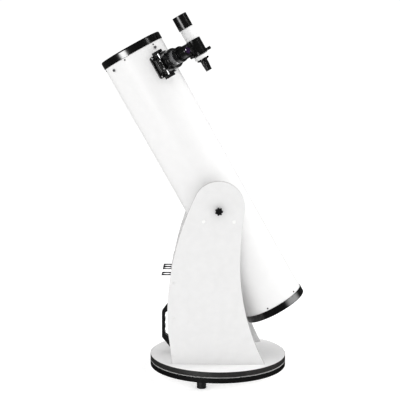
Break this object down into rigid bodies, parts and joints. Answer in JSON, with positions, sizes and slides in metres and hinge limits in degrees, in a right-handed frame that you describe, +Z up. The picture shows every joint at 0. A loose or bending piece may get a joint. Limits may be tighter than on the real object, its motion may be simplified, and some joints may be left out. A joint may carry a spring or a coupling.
{
  "type": "dobsonian telescope",
  "caption": "Solid-tube Newtonian telescope that tilts in a white rocker box turning on a round base board, with side finder, focuser and eyepiece rack.",
  "frame": {"origin": "on the floor, where the azimuth axis meets it", "axes": "+Z up along the azimuth axis, +Y along the altitude axis away from the finder side's viewer, tube's open end leaning towards -X"},
  "size_m": [0.7479, 0.51, 1.3373],
  "materials": {
    "white_laminate": "satin white melamine laminate over particle board",
    "black_edge_band": "satin black edge banding",
    "black_foot": "moulded black plastic",
    "zinc_steel": "zinc-plated steel",
    "white_screw_head": "white-painted steel",
    "slick_white": "white low-friction plastic",
    "tube_white": "gloss white enamel on rolled steel",
    "ring_black": "gloss black",
    "black_screw": "blackened steel",
    "hub_black": "moulded black plastic",
    "knob_black": "moulded black plastic",
    "mirror_silver": "aluminised glass",
    "cast_black": "black-painted cast aluminium",
    "spring_steel": "bright spring steel",
    "vane_black": "matt black paint",
    "focuser_black": "black-anodised and painted aluminium",
    "bright_chrome": "chrome plate",
    "eyepiece_black": "satin black",
    "coated_lens": "purple anti-reflection coating",
    "finder_white": "gloss white enamel",
    "finder_black": "satin black",
    "black_rubber": "black rubber",
    "rack_black": "black powder coat on sheet steel"
  },
  "bodies": {
    "ground": {"ground_board": "white_laminate", "ground_edge_band": "black_edge_band", "feet": "black_foot", "foot_screws": "zinc_steel", "azimuth_pads": "slick_white", "azimuth_bolt": "zinc_steel", "azimuth_nut": "zinc_steel"},
    "rocker": {"turntable_board": "white_laminate", "turntable_edge_band": "black_edge_band", "azimuth_bush": "slick_white", "side_board_near": "white_laminate", "side_board_far": "white_laminate", "front_board": "white_laminate", "board_screws": "white_screw_head", "support_cylinders": "slick_white", "screw_caps": "slick_white", "carry_handle": "knob_black", "eyepiece_rack": "rack_black", "fitting_screws": "zinc_steel"},
    "optical_tube": {"tube_shell": "tube_white", "front_ring": "ring_black", "rear_ring": "ring_black", "tube_screws": "black_screw", "altitude_hub_near": "hub_black", "altitude_hub_far": "hub_black", "rear_cell": "cast_black", "mirror_cell": "cast_black", "primary_mirror": "mirror_silver", "mirror_clips": "eyepiece_black", "collimation_springs": "spring_steel", "spider": "vane_black", "spider_nuts": "black_screw", "secondary_holder": "vane_black", "secondary_mirror": "mirror_silver", "secondary_screws": "black_screw", "focuser_base": "focuser_black", "focuser_body": "focuser_black", "finder_shoe": "finder_black", "finder_bracket": "finder_black", "finder_o_ring": "black_rubber", "finder_tube": "finder_white", "finder_dew_shield": "finder_black", "finder_objective": "coated_lens", "finder_eyepiece": "finder_black", "finder_plunger": "bright_chrome"},
    "focus_drawtube": {"drawtube": "bright_chrome", "eyepiece_adapter": "focuser_black", "eyepiece": "eyepiece_black", "eyepiece_lens": "coated_lens"},
    "focus_wheel": {"focus_shaft": "bright_chrome", "focus_knobs": "knob_black"},
    "tension_knob_near": {"tension_knob_near": "knob_black"},
    "tension_knob_far": {"tension_knob_far": "knob_black"},
    "finder_adjust_upper": {"finder_adjust_screw_upper": "black_screw"},
    "finder_adjust_lower": {"finder_adjust_screw_lower": "black_screw"},
    "shoe_screw": {"shoe_thumbscrew": "black_screw"},
    "eyepiece_screw": {"eyepiece_thumbscrew": "black_screw"},
    "collimation_1": {"collimation_knob_1": "knob_black"},
    "collimation_2": {"collimation_knob_2": "knob_black"},
    "collimation_3": {"collimation_knob_3": "knob_black"}
  },
  "joints": [
    {"name": "azimuth", "type": "hinge", "parent": "ground", "child": "rocker", "pos_m": [0, 0, 0.0585], "axis": [0, 0, 1], "continuous": true},
    {"name": "altitude", "type": "hinge", "parent": "rocker", "child": "optical_tube", "pos_m": [0, 0, 0.632], "axis": [0, 1, 0], "range_deg": [-60.6, 29.4]},
    {"name": "focus_slide", "type": "slide", "parent": "optical_tube", "child": "focus_drawtube", "axis": [0.616, -0.7071, 0.3471], "range_m": [-0.018, 0.025]},
    {"name": "focus_turn", "type": "hinge", "parent": "optical_tube", "child": "focus_wheel", "pos_m": [-0.19746, -0.12519, 1.15089], "axis": [-0.4909, 0, 0.8712], "range_deg": [-480, 346]},
    {"name": "tension_near_turn", "type": "hinge", "parent": "optical_tube", "child": "tension_knob_near", "pos_m": [0, -0.162, 0.632], "axis": [0, -1, 0], "range_deg": [-360, 360]},
    {"name": "tension_far_turn", "type": "hinge", "parent": "optical_tube", "child": "tension_knob_far", "pos_m": [0, 0.162, 0.632], "axis": [0, 1, 0], "range_deg": [-360, 360]},
    {"name": "finder_adjust_upper_turn", "type": "hinge", "parent": "optical_tube", "child": "finder_adjust_upper", "pos_m": [-0.04282, -0.0118, 1.20589], "axis": [0.8187, -0.342, 0.4613], "range_deg": [-720, 720]},
    {"name": "finder_adjust_lower_turn", "type": "hinge", "parent": "optical_tube", "child": "finder_adjust_lower", "pos_m": [-0.09409, -0.02218, 1.177], "axis": [-0.6674, -0.6428, -0.3761], "range_deg": [-720, 720]},
    {"name": "shoe_screw_turn", "type": "hinge", "parent": "optical_tube", "child": "shoe_screw", "pos_m": [-0.15603, -0.023, 1.16965], "axis": [0, -1, 0], "range_deg": [-360, 720]},
    {"name": "eyepiece_screw_turn", "type": "hinge", "parent": "focus_drawtube", "child": "eyepiece_screw", "pos_m": [-0.12042, -0.1294, 1.1943], "axis": [0.616, 0.7071, 0.3471], "range_deg": [-360, 720]},
    {"name": "collimation_turn_1", "type": "hinge", "parent": "optical_tube", "child": "collimation_1", "pos_m": [0.27496, 0, 0.29681], "axis": [0.4909, 0, -0.8712], "range_deg": [-720, 720]},
    {"name": "collimation_turn_2", "type": "hinge", "parent": "optical_tube", "child": "collimation_2", "pos_m": [0.17694, 0.06495, 0.24158], "axis": [0.4909, 0, -0.8712], "range_deg": [-720, 720]},
    {"name": "collimation_turn_3", "type": "hinge", "parent": "optical_tube", "child": "collimation_3", "pos_m": [0.17694, -0.06495, 0.24158], "axis": [0.4909, 0, -0.8712], "range_deg": [-720, 720]}
  ],
  "couplings": [
    {"joint": "focus_turn", "follows": "focus_slide", "rad_per_m": -333.33}
  ]
}
